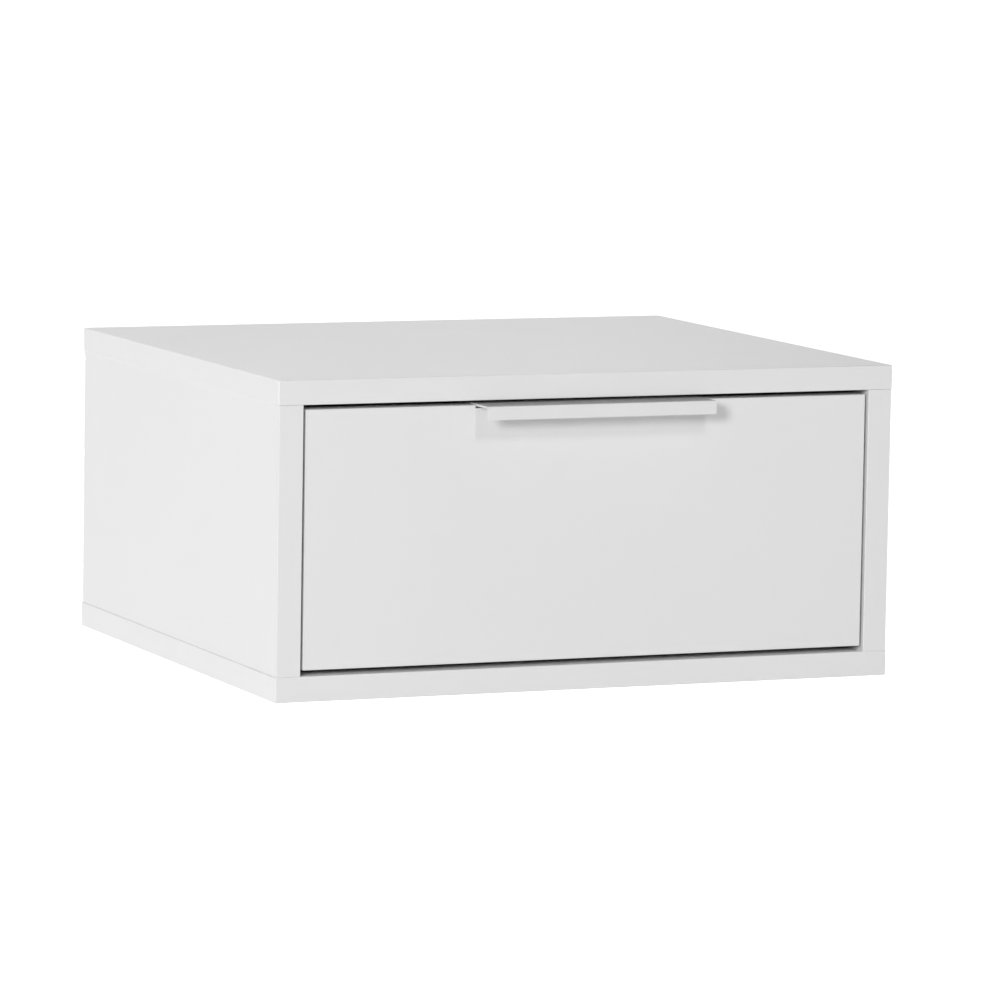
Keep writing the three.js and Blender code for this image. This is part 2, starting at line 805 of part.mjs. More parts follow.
for (const [hand, sign] of [['right', 1], ['left', -1]]) {
  const cabinetHalf = new THREE.Group();
  const drawerHalf = new THREE.Group();
  cabinetHalf.scale.x = sign;
  drawerHalf.scale.x = sign;
  carcass.add(cabinetHalf);
  drawer.add(drawerHalf);

  cabinetHalf.add(meshOf(`${hand}_side`, sideBoard(), melamine));
  for (const [place, frame] of [...topFrames, ...bottomFrames]) {
    cabinetHalf.add(camFitting(`${hand}_${place}`, frame, boardThickness));
  }
  cabinetHalf.add(camFitting(`${hand}_rail`, railFrame, boardThickness));
  cabinetHalf.add(meshOf(`runner_cabinet_member_${hand}`, cabinetMember(), zincSteel));
  cabinetHalf.add(meshOf(`runner_stop_${hand}`, runnerStop(), stopRubber));
  cabinetHalf.add(meshOf(`runner_middle_member_${hand}`, middleMember(), zincSteel));
  const outerCage = ballCage(outerCageWeb, outerBallSetback, outerBallLevel);
  cabinetHalf.add(meshOf(`ball_cage_outer_${hand}`, outerCage, cageSteel));
  const innerCage = ballCage(innerCageWeb, innerBallSetback, innerBallLevel);
  cabinetHalf.add(meshOf(`ball_cage_inner_${hand}`, innerCage, cageSteel));

  drawerHalf.add(meshOf(`drawer_side_${hand}`, drawerSide(), boxMelamine));
  drawerHalf.add(camFitting(`${hand}_drawer`, boxFrontFrame, boxBoard));
  drawerHalf.add(meshOf(`runner_drawer_member_${hand}`, drawerMember(), zincSteel));

  const backScrew = meshOf(`drawer_back_screw_${hand}`, flatScrew(0), zincSteel);
  backScrew.applyMatrix4(boxBackScrewFrame);
  drawerHalf.add(backScrew);
  ['front', 'rear'].forEach((place, index) => {
    const cabinetScrew = meshOf(`cabinet_runner_screw_${hand}_${place}`, flatScrew(runnerSheet), zincSteel);
    cabinetScrew.applyMatrix4(cabinetScrewFrames[index]);
    cabinetHalf.add(cabinetScrew);
    const drawerScrew = meshOf(`drawer_runner_screw_${hand}_${place}`, panScrew(runnerSheet), zincSteel);
    drawerScrew.applyMatrix4(drawerScrewFrames[index]);
    drawerHalf.add(drawerScrew);
  });
}

['left', 'right'].forEach((hand, index) => {
  const screw = meshOf(`pull_screw_${hand}`, panScrew(pullSheet), zincSteel);
  screw.applyMatrix4(pullScrewFrames[index]);
  drawer.add(screw);
});

export default nightstand;
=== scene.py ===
# The floating nightstand, dressed for rendering round its CAD frame.
# Lengths are in metres: +X to the right, +Y into the wall, +Z up.
import math

import bmesh
import bpy
from mathutils import Matrix, Vector


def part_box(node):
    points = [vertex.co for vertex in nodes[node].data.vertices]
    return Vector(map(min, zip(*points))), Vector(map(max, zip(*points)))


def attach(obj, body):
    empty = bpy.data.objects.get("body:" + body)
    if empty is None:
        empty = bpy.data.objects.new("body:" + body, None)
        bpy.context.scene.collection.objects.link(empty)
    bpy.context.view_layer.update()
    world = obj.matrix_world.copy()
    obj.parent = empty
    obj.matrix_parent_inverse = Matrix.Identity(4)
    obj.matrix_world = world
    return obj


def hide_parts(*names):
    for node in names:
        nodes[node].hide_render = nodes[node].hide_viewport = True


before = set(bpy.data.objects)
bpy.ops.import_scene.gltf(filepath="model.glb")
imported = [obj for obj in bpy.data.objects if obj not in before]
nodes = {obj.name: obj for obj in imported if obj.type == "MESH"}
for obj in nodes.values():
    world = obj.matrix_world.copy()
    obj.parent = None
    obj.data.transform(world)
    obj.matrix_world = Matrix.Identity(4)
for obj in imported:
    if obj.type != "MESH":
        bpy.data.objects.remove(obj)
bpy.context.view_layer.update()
scene = bpy.context.scene
X, Y, Z = range(3)
ends = ("front", "rear")
outward = {"left": -1, "right": 1}
upward = {"top": 1, "bottom": -1}

# Boards: rounded arrises, edge bands and the glue lines beside them
band_arris = 0.0006
band_corner = 0.0014
stile_arris = 0.0004
front_arris = 0.00035
front_corner = 0.0005
raw_arris = 0.0002
largest_arris = 0.0014
arris_steps = 4
panel_arris_steps = 2
round_profile = 0.5
band_thickness = 0.0008
seam_width = 0.00008
face_layer, band_layer, seam_layer, core_layer = range(4)
square_on_share = 0.9
lacquered_share = 0.5

# A few visible faces lie a little off their solids, to follow the photo's lines
front_trim = 0.0003
top_joint_rise = 0.00045
rebate_drop = 0.0013
rebate_pocket_drop = 0.0038
rebate_wall = 0.0008

# Bores, grooves and cuts
overrun = 0.001
cut_tolerance = 0.0000001
weld_distance = 0.000001
plane_margin = 0.00002
round_sides = 48
cam_well_fit = 0.0002
bolt_end_play = 0.0002
bolt_neck_bore = 0.004
bolt_thread_bore = 0.0029
wall_hole_spacing = 0.256
wall_hole_radius = 0.003
wall_sink_radius = 0.006
groove_play = 0.0003

# Edge pull
pull_sheet = 0.0015
pull_outer_bend = 0.0005
pull_inner_bend = 0.0003
pull_lip = 0.0085
pull_leg = 0.0226
pull_end_radius = 0.0012
pull_end_steps = 6
pull_softening = 0.00018
pull_softening_steps = 2
pull_end_gap = 0.0003

# Ball runners
bend_steps = 7
runner_sheet = 0.0012
outer_bend = 0.0026
inner_bend = 0.0014
ball_radius = 0.0016
ball_segments = 20
ball_rings = 12
race_clearance = 0.0002
lip_past_ball = 0.0002
outer_ball_setback = 0.007
inner_ball_setback = 0.008
ball_pitch = 0.018
balls_per_row = 5
ball_hole_fit = 0.00012
ball_hole_sides = 28
cage_sheet = 0.0005
cage_outer_bend = 0.0008
cage_inner_bend = 0.0003
cage_bend_steps = 4
cage_clearance = 0.0003
cage_past_ball = 0.001
cage_slot_length = 0.011
cage_slot_width = 0.006

# Punched holes of the runners; a slot is (distance from the member's front end, whether it is upright)
punch_depth = 0.004
slot_steps = 10
slot_width = 0.0045
slot_length = 0.0095
short_slot_length = 0.0076
cabinet_slots = ((0.016, True), (0.070, False), (0.106, True), (0.136, False), (0.190, True), (0.222, False))
drawer_slots = ((0.014, True), (0.024, False), (0.118, True), (0.172, False), (0.196, True), (0.276, True))
window_length = 0.034
window_height = 0.014
window_place = 0.062
rivet_inset = 0.012
rivet_radius = 0.0026

# Screws; a cross is (length, width, depth)
flat_head_radius = 0.004
flat_shank_radius = 0.0019
flat_head_sides = 32
flat_shank_share = 0.98
flat_cross = (0.0042, 0.0010, 0.0012)
countersink_depth = 0.0012
pan_head_radius = 0.0034
pan_head_height = 0.0019
pan_head_segments = 32
pan_head_rings = 16
pan_shank_radius = 0.0017
pan_shank_overlap = 0.0004
pan_cross = (0.0037, 0.0009, 0.0011)
shank_sides = 24
screw_fit = 0.0003
flat_hole_radius = flat_shank_radius + screw_fit
pan_hole_radius = pan_shank_radius + screw_fit
clearing_block = 0.02

# Cams; a share is a part of the cam's radius
cam_radius = 0.0075
cam_mouth = 0.0066
cam_cross = (0.008, 0.0014, 0.002)
cam_dish_share = 0.84
cam_dish_depth = 0.0003
cam_arrow_place_share = 0.92
cam_arrow_width_share = 0.12
cam_arrow_depth = 0.0006

# Smooth shading stops at edges sharper than this, in degrees
board_smoothing = 38.0
sheet_smoothing = 32.0
pull_smoothing = 40.0
ball_smoothing = 60.0
softened_angle = 50.0

# Camera
camera_place = Vector((-1.5680, -3.8960, 0.4344))
camera_heading = math.radians(23.090)
camera_dip = math.radians(6.779)
camera_roll = math.radians(0.937)
camera_lens = 223.54
camera_sensor = 36.0
camera_reach = 200.0

# Lamps (name, heading, height, distance, width, tall, share); the share is what a lamp gives a white
# face that is turned to it
lamps = (
    ("key", -40.6, 14.9, 5.3, 1.1, 0.98, 0.45),
    ("front_above", -1.7, 36.0, 3.0, 0.29, 0.46, 0.13),
    ("front_flat", 10.0, -4.0, 3.2, 3.0, 1.4, 0.07),
    ("left_flat", -107.0, 4.0, 2.6, 2.2, 1.6, 0.272),
    ("right_flat", 100.0, 6.0, 3.0, 2.4, 1.6, 0.30),
    ("rear_above", 176.0, 30.0, 3.0, 2.6, 1.0, 0.155),
    ("rear_flat", 180.0, -3.0, 3.0, 0.5, 0.4, 0.30),
)
stage_centre = Vector((0.0, -0.18, -0.044))

# World and floor
white = (1.0, 1.0, 1.0, 1.0)
room_share = 0.21
backdrop_share = 1.02
floor_tone = (0.82, 0.82, 0.82, 1.0)
floor_level = -0.62
floor_half = 14.0
floor_lit_reach = 1.4
floor_white_reach = 2.6
floor_near_lift = 0.72
floor_far_lift = 1.05

# Finishes by name, and the part of a pattern's range over which one value turns into the other
pattern_start = 0.3
pattern_end = 0.7
finishes = {}


def placed(name, data):
    """A new object of the scene."""
    thing = bpy.data.objects.new(name, data)
    scene.collection.objects.link(thing)
    return thing


# Camera, lamps, world and floor


def make_camera():
    camera = bpy.data.cameras.new("photographer")
    camera.sensor_width = camera_sensor
    camera.lens = camera_lens
    camera.clip_end = camera_reach
    holder = placed("photographer", camera)
    heading = Matrix.Rotation(-camera_heading, 4, "Z")
    dip = Matrix.Rotation(math.pi / 2 - camera_dip, 4, "X")
    roll = Matrix.Rotation(camera_roll, 4, "Z")
    holder.matrix_world = Matrix.Translation(camera_place) @ heading @ dip @ roll
    scene.camera = holder


def make_lamp(name, heading, height, distance, width, tall, share):
    """A soft box seen from the nightstand at heading degrees to the right of straight in front."""
    across = math.radians(heading)
    rise = math.radians(height)
    level = math.cos(rise)
    towards = Vector((math.sin(across) * level, -math.cos(across) * level, math.sin(rise)))
    light = bpy.data.lights.new(name, "AREA")
    light.shape = "RECTANGLE"
    light.size = width
    light.size_y = tall
    light.energy = share * math.pi**2 * distance**2
    holder = placed(name, light)
    holder.location = stage_centre + towards * distance
    holder.rotation_euler = towards.to_track_quat("Z", "Y").to_euler()


def shader(tree, kind, *feeds, operation=None, **values):
    """A shader node whose first inputs are fed in turn; values go to inputs by name, _ for a space."""
    made = tree.nodes.new(f"ShaderNode{kind}")
    if operation:
        made.operation = operation
    for name, value in values.items():
        made.inputs[name.replace("_", " ")].default_value = value
    for index, feed in enumerate(feeds):
        tree.links.new(feed, made.inputs[index])
    return made


def ranged(tree, value, start, end, low, high):
    """A value of low at the start of a range and high at its end."""
    limits = {"From_Min": start, "From_Max": end, "To_Min": low, "To_Max": high}
    return shader(tree, "MapRange", value, **limits).outputs["Result"]


def seen_directly(tree):
    """1 for rays that the camera, a gloss or a clear body sends out, and 0 for light that bounces."""
    path = shader(tree, "LightPath").outputs
    first = shader(tree, "Math", path["Is Camera Ray"], path["Is Glossy Ray"], operation="MAXIMUM")
    both = shader(tree, "Math", first.outputs[0], path["Is Transmission Ray"], operation="MAXIMUM")
    return both.outputs[0]


def make_world():
    world = bpy.data.worlds.new("white_studio")
    world.use_nodes = True
    scene.world = world
    tree = world.node_tree
    room = tree.nodes["Background"]
    room.inputs["Strength"].default_value = room_share
    room.inputs["Color"].default_value = white
    backdrop = shader(tree, "Background", Color=white, Strength=backdrop_share)
    mix = shader(tree, "MixShader", seen_directly(tree), room.outputs[0], backdrop.outputs[0])
    tree.links.new(mix.outputs[0], tree.nodes["World Output"].inputs["Surface"])


def make_floor():
    """A pale floor well below the hanging cabinet, seen as white where no shadow lies on it.

    Away from the lamps it is lifted further, so that it stays white out to its edge. It is clear
    from below, so that the underside of the nightstand can be looked at.
    """
    shape = bmesh.new()
    corners = ((-1, -1), (1, -1), (1, 1), (-1, 1))
    shape.faces.new([shape.verts.new((u * floor_half, v * floor_half, floor_level)) for u, v in corners])
    floor = object_of(shape, "floor")
    paint = bpy.data.materials.new("floor_paint")
    paint.use_nodes = True
    tree = paint.node_tree
    tree.nodes.remove(tree.nodes["Principled BSDF"])
    pale = shader(tree, "BsdfDiffuse", Color=floor_tone).outputs[0]
    place = shader(tree, "TexCoord").outputs["Object"]
    reach = shader(tree, "VectorMath", place, operation="LENGTH").outputs["Value"]
    strength = ranged(tree, reach, floor_lit_reach, floor_white_reach, floor_near_lift, floor_far_lift)
    lift = shader(tree, "Emission")
    tree.links.new(strength, lift.inputs["Strength"])
    lifted = shader(tree, "AddShader", pale, lift.outputs[0]).outputs[0]
    above = shader(tree, "MixShader", seen_directly(tree), pale, lifted).outputs[0]
    below = shader(tree, "BsdfTransparent").outputs[0]
    side = shader(tree, "NewGeometry").outputs["Backfacing"]
    sheet = shader(tree, "MixShader", side, above, below)
    tree.links.new(sheet.outputs[0], tree.nodes["Material Output"].inputs["Surface"])
    floor.data.materials.append(paint)


# Finishes


def grey(level):
    return (level, level, level)


def noise(scale, detail=2.0, stretch=(1.0, 1.0, 1.0)):
    """A cloudy pattern: its kind of node, its output, how its space is stretched and its values."""
    return "TexNoise", "Fac", stretch, {"Scale": scale, "Detail": detail}


def cells(scale, stretch):
    """A pattern of grains, told in the same way."""
    return "TexVoronoi", "Distance", stretch, {"Scale": scale}


class Finish:
    """A material whose colour, roughness and relief follow patterns in the object's own space."""

    def __init__(self, name, colour, roughness, metallic=0.0):
        material = bpy.data.materials.new(name)
        finishes[name] = material
        material.use_nodes = True
        self.tree = material.node_tree
        self.surface = self.tree.nodes["Principled BSDF"].inputs
        self.surface["Base Color"].default_value = (*colour, 1.0)
        self.surface["Roughness"].default_value = roughness
        self.surface["Metallic"].default_value = metallic
        self.place = shader(self.tree, "TexCoord").outputs["Object"]

    def drawn(self, pattern):
        kind, output, stretch, values = pattern
        space = shader(self.tree, "Mapping", self.place, Scale=stretch).outputs["Vector"]
        return shader(self.tree, kind, space, **values).outputs[output]

    def tone(self, pattern, first, second, start=pattern_start, end=pattern_end):
        """Mixes two tones by a pattern; without a first one the second goes over the colour so far."""
        mix = self.tree.nodes.new("ShaderNodeMix")
        mix.data_type = "RGBA"
        colour = self.surface["Base Color"]
        if first:
            mix.inputs["A"].default_value = (*first, 1.0)
        else:
            self.tree.links.new(colour.links[0].from_socket, mix.inputs["A"])
        mix.inputs["B"].default_value = (*second, 1.0)
        factor = ranged(self.tree, self.drawn(pattern), start, end, 0.0, 1.0)
        self.tree.links.new(factor, mix.inputs["Factor"])
        self.tree.links.new(mix.outputs["Result"], colour)

    def rough(self, pattern, low, high):
        roughness = ranged(self.tree, self.drawn(pattern), pattern_start, pattern_end, low, high)
        self.tree.links.new(roughness, self.surface["Roughness"])

    def raised(self, height, depth):
        """Lays a relief over the one so far."""
        bump = shader(self.tree, "Bump", Distance=depth, Strength=1.0)
        self.tree.links.new(height, bump.inputs["Height"])
        normal = self.surface["Normal"]
        if normal.is_linked:
            self.tree.links.new(normal.links[0].from_socket, bump.inputs["Normal"])
        self.tree.links.new(bump.outputs["Normal"], normal)

    def relief(self, pattern, depth):
        self.raised(self.drawn(pattern), depth)

    def screened(self, pitch, depth):
        """The imprint of a woven wire screen: waves along x and z, one on the other."""
        waves = []
        for direction in ("X", "Z"):
            wave = shader(self.tree, "TexWave", self.place, Scale=math.pi / (10 * pitch))
            wave.bands_direction = direction
            waves.append(wave.outputs["Fac"])
        self.raised(shader(self.tree, "Math", *waves, operation="MULTIPLY").outputs[0], depth)


def make_finishes():
    made = Finish("white_melamine", grey(0.815), 0.42)
    made.tone(noise(6.0, 3.0), grey(0.809), grey(0.821))
    made.rough(noise(45.0, 3.0), 0.405, 0.445)
    made.relief(noise(1100.0), 0.000005)

    made = Finish("white_edge_band", grey(0.81), 0.36)
    made.tone(noise(9.0), grey(0.804), grey(0.816))
    made.rough(noise(60.0), 0.32, 0.42)
    made.relief(noise(700.0, 1.0), 0.000008)

    made = Finish("glue_line", (0.62, 0.61, 0.59), 0.7)
    made.tone(noise(300.0), (0.60, 0.59, 0.57), (0.66, 0.65, 0.63))

    grains = cells(420.0, (1.0, 1.0, 2.2))
    made = Finish("chipboard", (0.5, 0.37, 0.24), 0.9)
    made.tone(noise(260.0, 5.0), (0.52, 0.38, 0.24), (0.34, 0.23, 0.13))
    made.tone(grains, None, (0.66, 0.53, 0.37), 0.45, 0.75)
    made.rough(noise(300.0, 4.0), 0.8, 0.97)
    made.relief(grains, 0.00025)

    made = Finish("white_foil", (0.80, 0.80, 0.795), 0.5)
    made.tone(noise(8.0, 3.0), (0.792, 0.792, 0.787), (0.806, 0.806, 0.801))
    made.rough(noise(70.0), 0.45, 0.56)
    made.relief(noise(800.0, 2.0, (1.0, 0.2, 1.0)), 0.00001)

    made = Finish("lacquered_hardboard", (0.79, 0.79, 0.78), 0.5)
    made.tone(noise(12.0, 3.0), (0.78, 0.78, 0.772), (0.80, 0.80, 0.792))
    made.rough(noise(90.0, 3.0), 0.42, 0.56)
    made.relief(noise(420.0, 3.0), 0.00002)

    made = Finish("raw_hardboard", (0.27, 0.165, 0.09), 0.85)
    made.tone(noise(140.0, 6.0), (0.25, 0.15, 0.08), (0.34, 0.22, 0.125))
    made.tone(noise(900.0, 3.0), None, (0.16, 0.09, 0.045), 0.58, 0.75)
    made.rough(noise(200.0, 3.0), 0.75, 0.92)
    made.relief(noise(600.0, 3.0), 0.00006)
    made.screened(0.0016, 0.00008)

    made = Finish("white_powder_coat", grey(0.775), 0.13)
    made.tone(noise(30.0), grey(0.769), grey(0.783))
    made.rough(noise(160.0, 3.0), 0.11, 0.15)
    made.relief(noise(1500.0), 0.000003)

    made = Finish("zinc_plated_steel", (0.62, 0.64, 0.66), 0.34, 1.0)
    made.tone(noise(25.0, 3.0), (0.60, 0.63, 0.66), (0.66, 0.665, 0.66))
    made.tone(noise(90.0, 4.0), None, (0.56, 0.58, 0.60), 0.55, 0.8)
    made.rough(noise(900.0, 2.0, (1.0, 0.04, 1.0)), 0.26, 0.44)
    made.relief(noise(1500.0, 2.0, (1.0, 0.03, 1.0)), 0.000006)

    made = Finish("polished_ball_steel", (0.6, 0.61, 0.62), 0.14, 1.0)
    made.tone(noise(200.0), (0.58, 0.59, 0.60), (0.63, 0.64, 0.65))
    made.rough(noise(1200.0), 0.08, 0.2)

    made = Finish("cage_steel", (0.5, 0.51, 0.52), 0.36, 1.0)
    made.tone(noise(60.0, 3.0), (0.47, 0.48, 0.49), (0.55, 0.56, 0.57))
    made.rough(noise(700.0, 2.0, (1.0, 0.05, 1.0)), 0.28, 0.46)
    made.relief(noise(1400.0, 2.0, (1.0, 0.04, 1.0)), 0.000006)

    made = Finish("cast_zinc", (0.46, 0.47, 0.48), 0.5, 1.0)
    made.tone(noise(350.0, 4.0), (0.42, 0.43, 0.44), (0.52, 0.53, 0.54))
    made.tone(noise(1400.0), None, (0.34, 0.35, 0.36), 0.6, 0.8)
    made.rough(noise(500.0, 3.0), 0.4, 0.62)
    made.relief(noise(1800.0, 3.0), 0.00002)

    made = Finish("stop_rubber", (0.045, 0.046, 0.048), 0.8)
    made.tone(noise(220.0, 3.0), (0.04, 0.041, 0.043), (0.055, 0.056, 0.058))
    made.rough(noise(600.0, 3.0), 0.7, 0.9)
    made.relief(noise(1600.0, 3.0), 0.00002)


# Places on the CAD nodes


def end_of(node, axis, sign):
    """How far a node's box reaches along an axis, in its positive (1) or negative (-1) direction."""
    low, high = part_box(node)
    return high[axis] if sign > 0 else low[axis]


def face_centre(node, normal):
    """The middle of the face of a node's box that the normal points out of."""
    low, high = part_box(node)
    middle = (low + high) / 2
    half = (high - low) / 2
    return middle + Vector(a * b for a, b in zip(normal, half))


# Shapes


def object_of(shape, name):
    mesh = bpy.data.meshes.new(name)
    shape.to_mesh(mesh)
    shape.free()
    return placed(name, mesh)


def settle(thing):
    """Turns what an object's modifiers make into its own mesh."""
    depsgraph = bpy.context.evaluated_depsgraph_get()
    depsgraph.update()
    mesh = bpy.data.meshes.new_from_object(thing.evaluated_get(depsgraph), depsgraph=depsgraph)
    thing.modifiers.clear()
    thing.data = mesh
    mesh.name = thing.name


def brick(shape, first, last):
    """A block between two opposite corners."""
    first = Vector(first)
    last = Vector(last)
    size = [abs(u) for u in last - first]
    middle = (first + last) / 2
    for corner in bmesh.ops.create_cube(shape, size=1.0)["verts"]:
        corner.co = Vector(u * v for u, v in zip(corner.co, size)) + middle


def rod(shape, start, end, first_radius, last_radius=None, sides=round_sides):
    """A round bar or cone between two points."""
    start = Vector(start)
    end = Vector(end)
    along = end - start
    turn = along.to_track_quat("Z", "Y").to_matrix().to_4x4()
    bmesh.ops.create_cone(
        shape,
        cap_ends=True,
        segments=sides,
        radius1=first_radius,
        radius2=first_radius if last_radius is None else last_radius,
        depth=along.length,
        matrix=Matrix.Translation((start + end) / 2) @ turn,
    )


def bore(cutter, node, axis, start, end, first_radius, last_radius=None):
    """A drill on the middle line of a node's box, from one place to another along an axis."""
    low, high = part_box(node)
    first = (low + high) / 2
    last = first.copy()
    first[axis] = start
    last[axis] = end
    rod(cutter, first, last, first_radius, last_radius)


def thread_bore(cutter, bolt, axis, start, sign):
    """The narrow bore of a cam bolt, from a place to just past its threaded end."""
    end = end_of(bolt, axis, sign) + sign * bolt_end_play
    bore(cutter, bolt, axis, start, end, bolt_thread_bore)


def screw_bore(cutter, screw, axis, start, sign, radius):
    """A screw's bore, from a place to just past its tip."""
    bore(cutter, screw, axis, start, end_of(screw, axis, sign) + sign * screw_fit, radius)


def draw_out(shape, outline, axis, start, end):
    """Draws an outline out along an axis into a closed bar; its points leave that axis out."""
    rings = []
    for place in (start, end):
        ring = []
        for point in outline:
            corner = list(point)
            corner.insert(axis, place)
            ring.append(shape.verts.new(corner))
        rings.append(ring)
    first, last = rings
    shape.faces.new(first)
    shape.faces.new(reversed(last))
    count = len(first)
    for index in range(count):
        after = (index + 1) % count
        shape.faces.new((first[index], last[index], last[after], first[after]))
    bmesh.ops.recalc_face_normals(shape, faces=shape.faces)


def slot(cutter, x, y, z, length, width, upright=False):
    """A punch for an oblong hole with round ends through a sheet that faces x."""
    reach = (length - width) / 2
    outline = []
    for side in (1, -1):
        for step in range(slot_steps + 1):
            angle = math.pi * step / slot_steps - side * math.pi / 2
            along = side * reach + math.cos(angle) * width / 2
            across = math.sin(angle) * width / 2
            outline.append((y + across, z + along) if upright else (y + along, z + across))
    draw_out(cutter, outline, X, x - punch_depth / 2, x + punch_depth / 2)


def round_off(shape, edges, radius, steps):
    bmesh.ops.bevel(shape, geom=edges, offset=radius, segments=steps, profile=round_profile, affect="EDGES")


def cut_away(thing, cutter_shape):
    cutter = object_of(cutter_shape, "cutter")
    modifier = thing.modifiers.new("cut", "BOOLEAN")
    modifier.operation = "DIFFERENCE"
    modifier.solver = "EXACT"
    modifier.use_self = True
    modifier.object = cutter
    settle(thing)
    spent = cutter.data
    bpy.data.objects.remove(cutter)
    bpy.data.meshes.remove(spent)


def dress(thing, degrees, body, slot_name, stands_for, *materials):
    """Gives a piece smooth shading that stops at sharp edges, its materials and its place in the frame."""
    shape = bmesh.new()
    shape.from_mesh(thing.data)
    bmesh.ops.remove_doubles(shape, verts=shape.verts, dist=weld_distance)
    limit = math.radians(degrees)
    for face in shape.faces:
        face.smooth = True
    for edge in shape.edges:
        edge.smooth = len(edge.link_faces) == 2 and edge.calc_face_angle(0.0) < limit
    shape.to_mesh(thing.data)
    shape.free()
    modifier = thing.modifiers.new("weighted", "WEIGHTED_NORMAL")
    modifier.keep_sharp = True
    settle(thing)
    for material in materials:
        thing.data.materials.append(finishes[material])
    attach(thing, body)
    if stands_for:
        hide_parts(*stands_for)


# Boards


def rounded_block(name, low, high, radius_between):
    """A block each of whose edges is rounded by the radius that its two faces (axis, sign) call for."""
    shape = bmesh.new()
    brick(shape, low, high)
    shape.normal_update()
    weights = shape.edges.layers.float.new("bevel_weight_edge")
    for edge in shape.edges:
        sides = []
        for face in edge.link_faces:
            axis = main_axis(face.normal)
            sides.append((axis, 1 if face.normal[axis] > 0 else -1))
        edge[weights] = radius_between(*sides) / largest_arris
    block = object_of(shape, name)
    rounding = block.modifiers.new("rounded", "BEVEL")
    rounding.limit_method = "WEIGHT"
    rounding.width = largest_arris
    rounding.segments = arris_steps
    settle(block)
    return block


def main_axis(normal):
    return max(range(3), key=lambda axis: abs(normal[axis]))


def board(name, node, banded, cutter, long_arris, corner, shift):
    """A board in the place of its CAD node, banded on the edges (axis, sign), raw on the others.

    The shift is how far its lowest and its highest plane are above those of the node.
    """
    low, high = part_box(node)
    low.z += shift[0]
    high.z += shift[1]
    size = high - low
    thickness = min(range(3), key=lambda axis: size[axis])

    def radius_between(first, second):
        bands = (first in banded) + (second in banded)
        if bands == 2:
            return corner
        if bands == 1 and thickness in (first[0], second[0]):
            return long_arris
        return raw_arris

    thing = rounded_block(name, low, high, radius_between)
    shape = bmesh.new()
    shape.from_mesh(thing.data)
    for axis, sign in banded:
        edge_plane = high[axis] if sign > 0 else low[axis]
        normal = Vector(float(index == axis) for index in range(3))
        for inset in (band_thickness, band_thickness + seam_width):
            point = normal * (edge_plane - sign * inset)
            whole = [*shape.verts, *shape.edges, *shape.faces]
            bmesh.ops.bisect_plane(shape, geom=whole, dist=cut_tolerance, plane_co=point, plane_no=normal)
    shape.to_mesh(thing.data)
    shape.free()
    cut_away(thing, cutter)
    for polygon in thing.data.polygons:
        polygon.material_index = board_layer(polygon, low, high, thickness, banded)
    return thing


def board_layer(polygon, low, high, thickness, banded):
    """Which of a board's materials a face of it shows."""
    place = polygon.center
    normal = polygon.normal
    axis = main_axis(normal)
    plane = high[axis] if normal[axis] > 0 else low[axis]
    if abs(place[axis] - plane) > largest_arris:
        return core_layer
    for band_axis, sign in banded:
        edge_plane = high[band_axis] if sign > 0 else low[band_axis]
        depth = abs(edge_plane - place[band_axis])
        if depth < band_thickness:
            return band_layer
        if depth < band_thickness + seam_width:
            return seam_layer
    if axis != thickness and abs(normal[axis]) > square_on_share:
        return core_layer
    return face_layer


def faced_board(node, body, banded, cutter, long_arris=band_arris, corner=band_corner, shift=(0.0, 0.0)):
    """A melamine board with glued edge bands."""
    thing = board(f"{node}_faced", node, banded, cutter, long_arris, corner, shift)
    materials = ("white_melamine", "white_edge_band", "glue_line", "chipboard")
    dress(thing, board_smoothing, body, "white_melamine", [node], *materials)


def wrapped_board(node, cutter):
    """A drawer board whose foil goes round its upper and lower edge."""
    thing = board(f"{node}_wrapped", node, ((Z, 1), (Z, -1)), cutter, stile_arris, band_corner, (0.0, 0.0))
    materials = ("white_foil", "white_foil", "white_foil", "chipboard")
    dress(thing, board_smoothing, "drawer", "drawer_board", [node], *materials)


def make_panel(node, body, axis, sign):
    """A hardboard panel, lacquered on one face and raw on the other with its edges."""
    shape = bmesh.new()
    brick(shape, *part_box(node))
    round_off(shape, list(shape.edges), raw_arris, panel_arris_steps)
    panel = object_of(shape, f"{node}_lacquered")
    for polygon in panel.data.polygons:
        polygon.material_index = 0 if polygon.normal[axis] * sign > lacquered_share else 1
    materials = ("lacquered_hardboard", "raw_hardboard")
    dress(panel, board_smoothing, body, "white_hardboard", [node], *materials)


def cam_well(cutter, cam, normal):
    """The round well of a cam, open on the side that its cross faces."""
    normal = Vector(normal)
    floor = face_centre(cam, -normal) - normal * cam_well_fit
    mouth = face_centre(cam, normal) + normal * overrun
    rod(cutter, floor, mouth, cam_radius + cam_well_fit)


def groove_round(panel):
    """The corners of a panel's box with the play of its grooves round it."""
    low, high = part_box(panel)
    play = Vector((groove_play, groove_play, groove_play))
    return low - play, high + play


